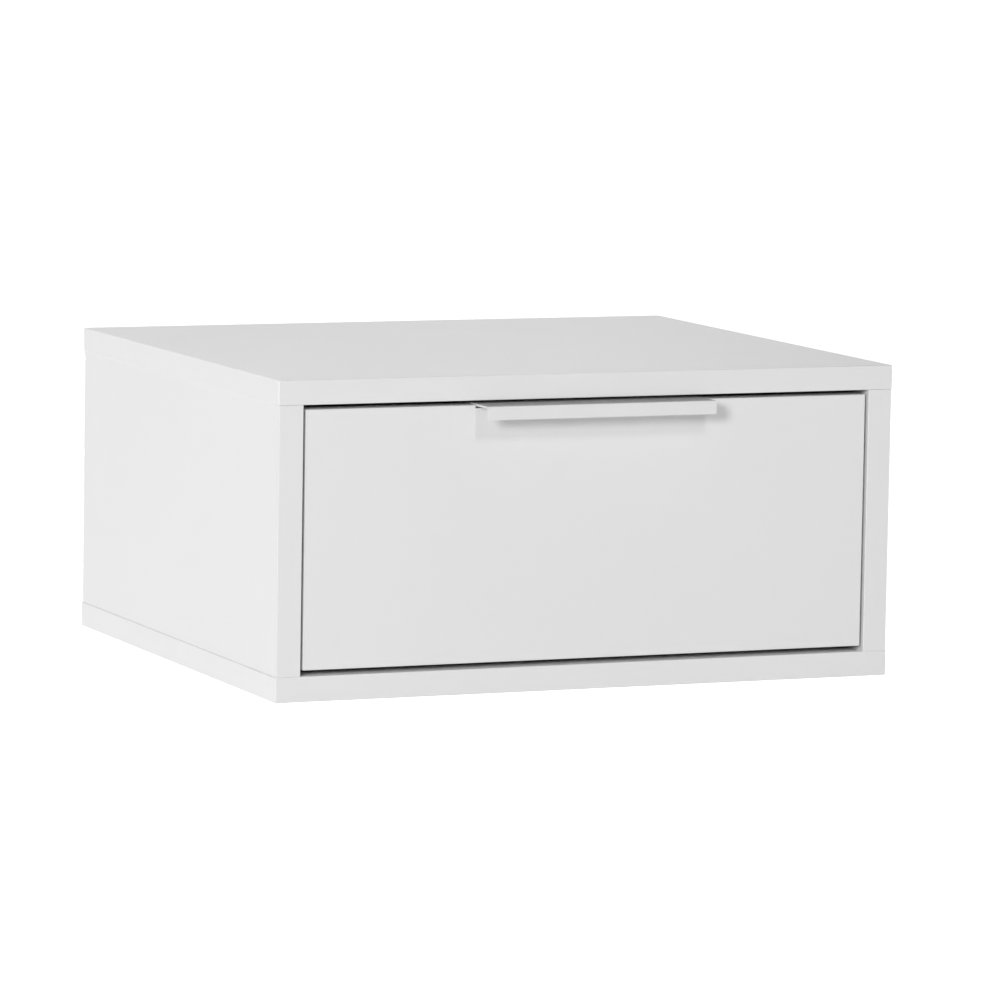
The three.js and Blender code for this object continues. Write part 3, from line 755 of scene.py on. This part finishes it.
def make_boards():
    inner = {"top": end_of("top_board", Z, -1), "bottom": end_of("bottom_board", Z, 1)}
    side_inner = end_of("right_side", X, -1)
    groove_low, groove_high = groove_round("back_panel")

    for level, up in upward.items():
        cutter = bmesh.new()
        start = inner[level] - up * overrun
        for hand in outward:
            for place in ends:
                thread_bore(cutter, f"cam_bolt_{hand}_{level}_{place}", Z, start, up)
        if level == "bottom":
            brick(cutter, groove_low, (groove_high.x, groove_high.y, start))
        raised = top_joint_rise if level == "top" else 0.0
        faced_board(f"{level}_board", "carcass", ((Y, -1), (X, -1), (X, 1)), cutter, shift=(raised, 0.0))

    for hand, sign in outward.items():
        face = sign * side_inner
        inside = face - sign * overrun
        cutter = bmesh.new()
        for place in ends:
            for level, up in upward.items():
                cam_well(cutter, f"cam_{hand}_{level}_{place}", (-sign, 0, 0))
                bolt = f"cam_bolt_{hand}_{level}_{place}"
                bore(cutter, bolt, Z, end_of(bolt, Z, -up), inner[level] + up * overrun, bolt_neck_bore)
            screw = f"cabinet_runner_screw_{hand}_{place}"
            screw_bore(cutter, screw, X, inside, sign, flat_hole_radius)
            neck = face + sign * countersink_depth
            bore(cutter, screw, X, inside, neck, flat_head_radius + screw_fit, flat_hole_radius)
        thread_bore(cutter, f"cam_bolt_{hand}_rail", X, inside, sign)
        brick(
            cutter,
            (inside, groove_low.y, inner["bottom"] - overrun),
            (sign * groove_high.x, groove_high.y, groove_high.z),
        )
        faced_board(f"{hand}_side", "carcass", ((Y, -1),), cutter, stile_arris, shift=(0.0, top_joint_rise))

    make_rail(groove_low, groove_high)
    make_panel("back_panel", "carcass", Y, -1)
    make_panel("drawer_floor", "drawer", Z, 1)


def make_rail(groove_low, groove_high):
    """The hanging rail, with its wall holes sunk from the front."""
    low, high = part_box("hanging_rail")
    cutter = bmesh.new()
    brick(
        cutter,
        (low.x - overrun, groove_low.y, low.z - overrun),
        (high.x + overrun, groove_high.y, groove_high.z),
    )
    before = low.y - overrun
    neck = low.y + wall_sink_radius - wall_hole_radius
    for sign in (-1, 1):
        x = sign * wall_hole_spacing / 2
        rod(cutter, (x, high.y + overrun, 0), (x, before, 0), wall_hole_radius)
        rod(cutter, (x, neck, 0), (x, before, 0), wall_hole_radius, wall_sink_radius + overrun)
    for hand, sign in outward.items():
        cam_well(cutter, f"cam_{hand}_rail", (0, -1, 0))
        bolt = f"cam_bolt_{hand}_rail"
        bore(cutter, bolt, X, end_of(bolt, X, -sign), sign * (high.x + overrun), bolt_neck_bore)
    faced_board("hanging_rail", "carcass", ((Z, -1),), cutter)


def make_drawer_boards():
    front_low, front_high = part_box("drawer_front")
    past_front = front_high.y + overrun
    pull_low, pull_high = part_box("edge_pull")
    rebate_left = pull_low.x - pull_end_gap
    rebate_right = pull_high.x + pull_end_gap
    plate_under = pull_high.z - pull_sheet
    groove_low, groove_high = groove_round("drawer_floor")
    box_inner = end_of("drawer_side_right", X, -1)
    box_outer = end_of("drawer_side_right", X, 1)

    cutter = bmesh.new()
    brick(cutter, groove_low, (groove_high.x, past_front, groove_high.z))
    brick(
        cutter,
        (rebate_left, front_low.y - overrun, plate_under - rebate_drop),
        (rebate_right, past_front, front_high.z + overrun),
    )
    brick(
        cutter,
        (rebate_left, front_low.y + rebate_wall, plate_under - rebate_pocket_drop),
        (rebate_right, past_front, pull_high.z),
    )
    for hand in outward:
        thread_bore(cutter, f"cam_bolt_{hand}_drawer", Y, past_front, -1)
        screw_bore(cutter, f"pull_screw_{hand}", Y, past_front, -1, pan_hole_radius)
    faced_board(
        "drawer_front",
        "drawer",
        ((X, -1), (X, 1), (Z, -1), (Z, 1)),
        cutter,
        front_arris,
        front_corner,
        (front_trim, -front_trim),
    )

    for hand, sign in outward.items():
        node = f"drawer_side_{hand}"
        before = end_of(node, Y, -1) - overrun
        outside = sign * (box_outer + overrun)
        cutter = bmesh.new()
        brick(
            cutter,
            (sign * (box_inner - overrun), before, groove_low.z),
            (sign * groove_high.x, groove_high.y, groove_high.z),
        )
        cam_well(cutter, f"cam_{hand}_drawer", (-sign, 0, 0))
        bolt = f"cam_bolt_{hand}_drawer"
        bore(cutter, bolt, Y, before, end_of(bolt, Y, 1), bolt_neck_bore)
        for place in ends:
            screw_bore(cutter, f"drawer_runner_screw_{hand}_{place}", X, outside, -sign, pan_hole_radius)
        screw = f"drawer_back_screw_{hand}"
        screw_bore(cutter, screw, X, outside, -sign, flat_hole_radius)
        neck = sign * (box_outer - flat_head_radius + flat_shank_radius)
        mouth_radius = flat_head_radius + screw_fit + overrun
        bore(cutter, screw, X, outside, neck, mouth_radius, flat_hole_radius)
        wrapped_board(node, cutter)

    low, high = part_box("drawer_back")
    cutter = bmesh.new()
    brick(
        cutter,
        (low.x - overrun, low.y - overrun, groove_low.z),
        (high.x + overrun, groove_high.y, groove_high.z),
    )
    for hand, sign in outward.items():
        start = sign * (box_inner + overrun)
        screw_bore(cutter, f"drawer_back_screw_{hand}", X, start, -sign, flat_hole_radius)
    wrapped_board("drawer_back", cutter)


# Folded sheet: the pull, the runner members and the ball cages


def rounded_outline(corners, steps=bend_steps):
    """Points of a closed outline whose corners (u, v, radius) are rounded."""
    points = []
    for index, (u, v, radius) in enumerate(corners):
        corner = Vector((u, v))
        if radius == 0:
            points.append(corner)
            continue
        back = (Vector(corners[index - 1][:2]) - corner).normalized()
        onward = (Vector(corners[(index + 1) % len(corners)][:2]) - corner).normalized()
        half_angle = back.angle(onward) / 2
        centre = corner + (back + onward).normalized() * (radius / math.sin(half_angle))
        start = corner + back * (radius / math.tan(half_angle)) - centre
        end = corner + onward * (radius / math.tan(half_angle)) - centre
        turn = math.atan2(start.cross(end), start.dot(end))
        for step in range(steps + 1):
            points.append(centre + Matrix.Rotation(turn * step / steps, 2) @ start)
    return points


def folded(name, outline, axis, start, end):
    """An object drawn out of its outline."""
    shape = bmesh.new()
    draw_out(shape, outline, axis, start, end)
    return object_of(shape, name)


def make_pull():
    low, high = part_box("edge_pull")
    front_rear = end_of("drawer_front", Y, 1)
    lip_inner = low.y + pull_sheet
    plate_under = high.z - pull_sheet
    lip_foot = high.z - pull_lip
    leg_foot = high.z - pull_leg
    corners = (
        (low.y, high.z, pull_outer_bend),
        (high.y, high.z, pull_outer_bend),
        (high.y, leg_foot, 0),
        (front_rear, leg_foot, 0),
        (front_rear, plate_under, 0),
        (lip_inner, plate_under, pull_inner_bend),
        (lip_inner, lip_foot, 0),
        (low.y, lip_foot, 0),
    )
    pull = folded("edge_pull_folded", rounded_outline(corners), X, low.x, high.x)
    shape = bmesh.new()
    shape.from_mesh(pull.data)
    lip_ends = []
    for edge in shape.edges:
        first, last = (vert.co for vert in edge.verts)
        at_foot = abs(first.z - lip_foot) < plane_margin and abs(last.z - lip_foot) < plane_margin
        if at_foot and abs(first.x - last.x) < plane_margin:
            lip_ends.append(edge)
    round_off(shape, lip_ends, pull_end_radius, pull_end_steps)
    shape.to_mesh(pull.data)
    shape.free()
    cutter = bmesh.new()
    for hand in outward:
        screw = f"pull_screw_{hand}"
        bore(cutter, screw, Y, front_rear - overrun, high.y + overrun, pan_hole_radius)
    cut_away(pull, cutter)
    modifier = pull.modifiers.new("softened", "BEVEL")
    modifier.width = pull_softening
    modifier.segments = pull_softening_steps
    modifier.limit_method = "ANGLE"
    modifier.angle_limit = math.radians(softened_angle)
    settle(pull)
    dress(pull, pull_smoothing, "drawer", "white_powder_coat", ["edge_pull"], "white_powder_coat")


def doubled(corners, level):
    """An outline's upper half and its mirror image below, at the runner's level."""
    below = [(u, -v, radius) for u, v, radius in reversed(corners)]
    return [(u, v + level, radius) for u, v, radius in corners + below]


def channel(x, web, lip_face, half, lip_tip):
    """The upper half of a member's section, with a lip that keeps the balls in."""
    return [
        (x(web), half, outer_bend),
        (x(lip_face), half, outer_bend),
        (x(lip_face), lip_tip, 0),
        (x(lip_face - runner_sheet), lip_tip, 0),
        (x(lip_face - runner_sheet), half - runner_sheet, inner_bend),
        (x(web + runner_sheet), half - runner_sheet, inner_bend),
    ]


def make_member(node, body, corners, level, start, end, cutter):
    """A runner member folded from the upper half of its section, with its holes punched."""
    outline = rounded_outline(doubled(corners, level))
    member = folded(f"{node}_folded", outline, Y, start, end)
    cut_away(member, cutter)
    dress(member, sheet_smoothing, body, "zinc_plated_steel", [node], "zinc_plated_steel")


def make_runner(hand):
    """The three members of one runner and its two ball cages, from the cabinet's side inwards."""
    sign = outward[hand]
    side_inner = end_of("right_side", X, -1)

    def x(setback):
        return sign * (side_inner - setback)

    low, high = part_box("runner_cabinet_member_right")
    front = low.y
    rear = high.y
    middle = (front + rear) / 2
    moving_rear = end_of("runner_middle_member_right", Y, 1)
    level = (low.z + high.z) / 2
    cabinet_half = (high.z - low.z) / 2
    outer_level = cabinet_half - runner_sheet - race_clearance - ball_radius
    middle_half = outer_level - ball_radius - race_clearance
    inner_level = middle_half - runner_sheet - race_clearance - ball_radius
    drawer_half = inner_level - ball_radius - race_clearance
    outer_cage_web = runner_sheet + cage_clearance
    middle_web = outer_cage_web + cage_sheet + cage_clearance
    inner_cage_web = middle_web + runner_sheet + cage_clearance
    drawer_tip = inner_cage_web + cage_sheet + cage_clearance
    ball_to_lip = ball_radius + race_clearance + runner_sheet

    lip = outer_ball_setback + ball_to_lip
    corners = channel(x, 0.0, lip, cabinet_half, outer_level - lip_past_ball)
    cutter = bmesh.new()
    mouth = x(runner_sheet + overrun)
    widest = flat_head_radius + screw_fit + overrun
    narrowest = flat_head_radius + screw_fit - runner_sheet - overrun
    for place in ends:
        screw = f"cabinet_runner_screw_{hand}_{place}"
        bore(cutter, screw, X, mouth, x(-overrun), widest, narrowest)
    for distance, upright in cabinet_slots:
        slot(cutter, x(runner_sheet / 2), front + distance, level, slot_length, slot_width, upright)
    make_member(f"runner_cabinet_member_{hand}", "carcass", corners, level, front, rear, cutter)

    lip = inner_ball_setback + ball_to_lip
    corners = channel(x, middle_web, lip, middle_half, inner_level - lip_past_ball)
    cutter = bmesh.new()
    for y in (middle - window_place, middle + window_place):
        slot(cutter, x(middle_web + runner_sheet / 2), y, level, window_length, window_height)
    rivet_start = x(middle_web - overrun)
    rivet_end = x(middle_web + runner_sheet + overrun)
    for y in (front + rivet_inset, middle, moving_rear - rivet_inset):
        rod(cutter, (rivet_start, y, level), (rivet_end, y, level), rivet_radius)
    node = f"runner_middle_member_{hand}"
    make_member(node, f"runner_middle_{hand}", corners, level, front, moving_rear, cutter)

    back = sign * end_of("drawer_side_right", X, 1)
    web = back + sign * runner_sheet
    corners = [
        (back, drawer_half, outer_bend),
        (x(drawer_tip), drawer_half, 0),
        (x(drawer_tip), drawer_half - runner_sheet, 0),
        (web, drawer_half - runner_sheet, inner_bend),
    ]
    cutter = bmesh.new()
    for place in ends:
        screw = f"drawer_runner_screw_{hand}_{place}"
        bore(cutter, screw, X, back - sign * overrun, web + sign * overrun, pan_hole_radius)
    for distance, upright in drawer_slots:
        length = slot_length if upright else short_slot_length
        slot(cutter, (back + web) / 2, front + distance, level, length, slot_width, upright)
    make_member(f"runner_drawer_member_{hand}", "drawer", corners, level, front, moving_rear, cutter)

    make_cage("outer", hand, x, outer_cage_web, outer_ball_setback, outer_level, level, middle)
    make_cage("inner", hand, x, inner_cage_web, inner_ball_setback, inner_level, level, middle)


def make_cage(ring, hand, x, web, setback, row_level, level, middle):
    """A folded strip with two rows of balls that stand through it."""
    node = f"ball_cage_{ring}_{hand}"
    low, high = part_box(node)
    tip = setback + cage_past_ball
    half = row_level + cage_sheet / 2
    corners = [
        (x(web), half, cage_outer_bend),
        (x(tip), half, 0),
        (x(tip), half - cage_sheet, 0),
        (x(web + cage_sheet), half - cage_sheet, cage_inner_bend),
    ]
    outline = rounded_outline(doubled(corners, level), cage_bend_steps)
    strip = folded(f"{node}_strip", outline, Y, low.y, high.y)
    first = middle - ball_pitch * (balls_per_row - 1) / 2
    through = Vector((0.0, 0.0, overrun))
    cutter = bmesh.new()
    places = []
    for row in (-1, 1):
        for index in range(balls_per_row):
            centre = Vector((x(setback), first + index * ball_pitch, level + row * row_level))
            places.append((centre, Matrix.Identity(3)))
            hole_radius = ball_radius + ball_hole_fit
            rod(cutter, centre - through, centre + through, hole_radius, sides=ball_hole_sides)
    for index in range(balls_per_row - 1):
        y = first + (index + 0.5) * ball_pitch
        slot(cutter, x(web + cage_sheet / 2), y, level, cage_slot_length, cage_slot_width)
    cut_away(strip, cutter)
    body = f"{ring}_cage_{hand}"
    dress(strip, sheet_smoothing, body, "ball_steel", [node], "cage_steel")
    balls = repeated(f"balls_{ring}_{hand}", ball_tree, {"Radius": ball_radius}, places)
    dress(balls, ball_smoothing, body, "ball_steel", [])


# Repeated fittings, made by Geometry Nodes


class Tree:
    """A Geometry Nodes tree with named sizes that sets one shape on every point of its object."""

    def __init__(self, name, *sizes):
        self.group = bpy.data.node_groups.new(name, "GeometryNodeTree")
        face = self.group.interface
        face.new_socket("Geometry", in_out="INPUT", socket_type="NodeSocketGeometry")
        for size in sizes:
            face.new_socket(size, in_out="INPUT", socket_type="NodeSocketFloat")
        face.new_socket("Geometry", in_out="OUTPUT", socket_type="NodeSocketGeometry")
        self.given = self.group.nodes.new("NodeGroupInput").outputs

    def link(self, value, socket):
        if isinstance(value, bpy.types.NodeSocket):
            self.group.links.new(value, socket)
        else:
            socket.default_value = value

    def node(self, kind, output, **inputs):
        """A node's output, its inputs given by name, _ for a space."""
        made = self.group.nodes.new(kind)
        for name, value in inputs.items():
            self.link(value, made.inputs[name.replace("_", " ")])
        return made.outputs[output]

    def maths(self, operation, first, second):
        made = self.group.nodes.new("ShaderNodeMath")
        made.operation = operation
        self.link(first, made.inputs[0])
        self.link(second, made.inputs[1])
        return made.outputs[0]

    def times(self, first, second):
        return self.maths("MULTIPLY", first, second)

    def vector(self, x, y, z):
        return self.node("ShaderNodeCombineXYZ", "Vector", X=x, Y=y, Z=z)

    def moved(self, geometry, offset, scale=(1.0, 1.0, 1.0)):
        kind = "GeometryNodeTransform"
        return self.node(kind, "Geometry", Geometry=geometry, Translation=offset, Scale=scale)

    def cylinder(self, sides, radius, depth, middle):
        """A round bar along z whose middle stands at a height."""
        bar = self.node("GeometryNodeMeshCylinder", "Mesh", Vertices=sides, Radius=radius, Depth=depth)
        return self.moved(bar, self.vector(0.0, 0.0, middle))

    def sphere(self, segments, rings, radius):
        kind = "GeometryNodeMeshUVSphere"
        return self.node(kind, "Mesh", Segments=segments, Rings=rings, Radius=radius)

    def cube(self, width, depth, height, offset=(0.0, 0.0, 0.0)):
        size = self.vector(width, depth, height)
        return self.moved(self.node("GeometryNodeMeshCube", "Mesh", Size=size), offset)

    def boolean(self, operation, first, *others):
        made = self.group.nodes.new("GeometryNodeMeshBoolean")
        made.operation = operation
        made.solver = "EXACT"
        self.link(first, made.inputs["Mesh 1" if operation == "DIFFERENCE" else "Mesh 2"])
        for other in others:
            self.link(other, made.inputs["Mesh 2"])
        return made.outputs["Mesh"]

    def crossed(self, geometry, length, width, depth):
        """Cuts a cross from the top face of a head, which lies at height 0."""
        twice = self.times(depth, 2.0)
        lying = self.cube(length, width, twice)
        standing = self.cube(width, length, twice)
        return self.boolean("DIFFERENCE", geometry, lying, standing)

    def finished(self, shape, material):
        """Sets the shape on every point, turned by the point's own turn, and closes the tree."""
        named = self.group.nodes.new("GeometryNodeInputNamedAttribute")
        named.data_type = "FLOAT_VECTOR"
        named.inputs["Name"].default_value = "turn"
        turn = self.node("FunctionNodeEulerToRotation", "Rotation", Euler=named.outputs["Attribute"])
        kind = "GeometryNodeInstanceOnPoints"
        placed = self.node(kind, "Instances", Points=self.given["Geometry"], Instance=shape, Rotation=turn)
        real = self.node("GeometryNodeRealizeInstances", "Geometry", Geometry=placed)
        paint = finishes[material]
        painted = self.node("GeometryNodeSetMaterial", "Geometry", Geometry=real, Material=paint)
        self.link(painted, self.group.nodes.new("NodeGroupOutput").inputs["Geometry"])
        return self.group


def repeated(name, tree, sizes, places):
    """A tree's shape set at each place (point, turn), as one plain mesh."""
    mesh = bpy.data.meshes.new(name)
    mesh.from_pydata([point for point, turn in places], [], [])
    turns = mesh.attributes.new("turn", "FLOAT_VECTOR", "POINT")
    for index, (point, turn) in enumerate(places):
        turns.data[index].vector = turn.to_euler()
    thing = placed(name, mesh)
    modifier = thing.modifiers.new("repeat", "NODES")
    modifier.node_group = tree
    for item in tree.interface.items_tree:
        if item.in_out == "INPUT" and item.name in sizes:
            modifier[item.identifier] = sizes[item.name]
    settle(thing)
    return thing


def facing(normal, up):
    """The turn that points a shape's z axis along the normal and its x axis along up."""
    z = Vector(normal)
    x = Vector(up)
    return Matrix((x, z.cross(x), z)).transposed()


def make_ball_tree():
    tree = Tree("bearing_ball", "Radius")
    return tree.finished(tree.sphere(ball_segments, ball_rings, tree.given["Radius"]), "polished_ball_steel")


def make_cam_tree():
    tree = Tree("die_cast_cam", "Radius", "Height", "Cross length", "Cross width", "Cross depth", "Mouth")
    given = tree.given
    radius = given["Radius"]
    mouth = given["Mouth"]
    middle = tree.times(given["Height"], -0.5)
    body = tree.cylinder(round_sides, radius, given["Height"], middle)
    dish = tree.cylinder(round_sides, tree.times(radius, cam_dish_share), 2 * cam_dish_depth, 0.0)
    body = tree.boolean("DIFFERENCE", body, dish)
    cross_depth = tree.maths("ADD", given["Cross depth"], cam_dish_depth)
    body = tree.crossed(body, given["Cross length"], given["Cross width"], cross_depth)
    notch = tree.cube(radius, mouth, mouth, tree.vector(radius, 0.0, middle))
    arrow_place = tree.vector(tree.times(radius, cam_arrow_place_share), 0.0, 0.0)
    arrow_width = tree.times(radius, cam_arrow_width_share)
    arrow = tree.cube(arrow_width, arrow_width, 2 * cam_arrow_depth, arrow_place)
    return tree.finished(tree.boolean("DIFFERENCE", body, notch, arrow), "cast_zinc")


def make_pan_tree():
    tree = Tree("pan_head_screw", "Head radius", "Head height", "Shank radius", "Length")
    radius = tree.given["Head radius"]
    height = tree.given["Head height"]
    length = tree.given["Length"]
    ball = tree.sphere(pan_head_segments, pan_head_rings, 1.0)
    dome = tree.moved(ball, (0.0, 0.0, 0.0), tree.vector(radius, radius, height))
    below = (0.0, 0.0, -clearing_block / 2)
    dome = tree.boolean("DIFFERENCE", dome, tree.cube(clearing_block, clearing_block, clearing_block, below))
    shank_depth = tree.maths("ADD", length, pan_shank_overlap)
    shank_middle = tree.maths("ADD", tree.times(length, -0.5), pan_shank_overlap / 2)
    shank = tree.cylinder(shank_sides, tree.given["Shank radius"], shank_depth, shank_middle)
    body = tree.boolean("UNION", dome, shank)
    lowered = tree.moved(body, tree.vector(0.0, 0.0, tree.times(height, -1.0)))
    return tree.finished(tree.crossed(lowered, *pan_cross), "zinc_plated_steel")


def make_flat_tree():
    tree = Tree("countersunk_screw", "Head radius", "Shank radius", "Length")
    radius = tree.given["Head radius"]
    shank_radius = tree.given["Shank radius"]
    length = tree.given["Length"]
    drop = tree.maths("SUBTRACT", radius, shank_radius)
    cone = {"Vertices": flat_head_sides, "Radius_Top": radius, "Radius_Bottom": shank_radius, "Depth": drop}
    head = tree.node("GeometryNodeMeshCone", "Mesh", **cone)
    head = tree.moved(head, tree.vector(0.0, 0.0, tree.times(drop, -1.0)))
    half_drop = tree.times(drop, 0.5)
    depth = tree.maths("SUBTRACT", length, half_drop)
    middle = tree.times(tree.maths("ADD", length, half_drop), -0.5)
    shank = tree.cylinder(shank_sides, tree.times(shank_radius, flat_shank_share), depth, middle)
    body = tree.boolean("UNION", head, shank)
    return tree.finished(tree.crossed(body, *flat_cross), "zinc_plated_steel")


def place_fittings(name, body, slot_name, tree, sizes, turns):
    """One piece of equal fittings; turns gives the way that each node's head and cross point."""
    places = [(face_centre(node, normal), facing(normal, up)) for node, (normal, up) in turns.items()]
    piece = repeated(name, tree, sizes, places)
    dress(piece, sheet_smoothing, body, slot_name, list(turns))


def sides_of(node):
    low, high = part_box(node)
    return high - low


def make_cams():
    turns = {"carcass": {}, "drawer": {}}
    for hand, sign in outward.items():
        inward = (-sign, 0, 0)
        for level, up in upward.items():
            for place in ends:
                turns["carcass"][f"cam_{hand}_{level}_{place}"] = (inward, (0, 0, up))
        turns["carcass"][f"cam_{hand}_rail"] = ((0, -1, 0), (sign, 0, 0))
        turns["drawer"][f"cam_{hand}_drawer"] = (inward, (0, -1, 0))
    length, width, depth = cam_cross
    cross = {"Cross length": length, "Cross width": width, "Cross depth": depth}
    tree = make_cam_tree()
    for body, example in (("carcass", "cam_left_rail"), ("drawer", "cam_left_drawer")):
        sizes = {"Radius": cam_radius, "Height": min(sides_of(example)), "Mouth": cam_mouth, **cross}
        place_fittings(f"cams_of_{body}", body, "cast_zinc", tree, sizes, turns[body])


def make_screws(stem, body, tree, sizes, side, endings=("_front", "_rear")):
    """The screws of one kind; their heads face away from the middle (1), to it (-1) or the rear (0)."""
    turns = {}
    for hand in outward:
        normal = (outward[hand] * side, 0, 0) if side else (0, 1, 0)
        for ending in endings:
            turns[f"{stem}_{hand}{ending}"] = (normal, (0, 0, 1))
    length = max(sides_of(next(iter(turns)))) - sizes.get("Head height", 0.0)
    place_fittings(f"{stem}s", body, "zinc_plated_steel", tree, {**sizes, "Length": length}, turns)


def make_fittings():
    make_cams()
    flat = make_flat_tree()
    pan = make_pan_tree()
    flat_sizes = {"Head radius": flat_head_radius, "Shank radius": flat_shank_radius}
    pan_sizes = {
        "Head radius": pan_head_radius,
        "Head height": pan_head_height,
        "Shank radius": pan_shank_radius,
    }
    make_screws("cabinet_runner_screw", "carcass", flat, flat_sizes, -1)
    make_screws("drawer_runner_screw", "drawer", pan, pan_sizes, 1)
    make_screws("drawer_back_screw", "drawer", flat, flat_sizes, 1, ("",))
    make_screws("pull_screw", "drawer", pan, pan_sizes, 0, ("",))


def paint_left_over():
    """Gives every CAD node that still shows its own finish."""
    for name, node in nodes.items():
        if node.hide_render:
            continue
        material = "stop_rubber" if name.startswith("runner_stop") else "zinc_plated_steel"
        node.data.materials.clear()
        node.data.materials.append(finishes[material])


# Making it all

scene.view_settings.view_transform = "Standard"
make_camera()
make_world()
make_floor()
for lamp in lamps:
    make_lamp(*lamp)

make_finishes()
ball_tree = make_ball_tree()
make_boards()
make_drawer_boards()
make_pull()
for runner_hand in outward:
    make_runner(runner_hand)
make_fittings()
paint_left_over()
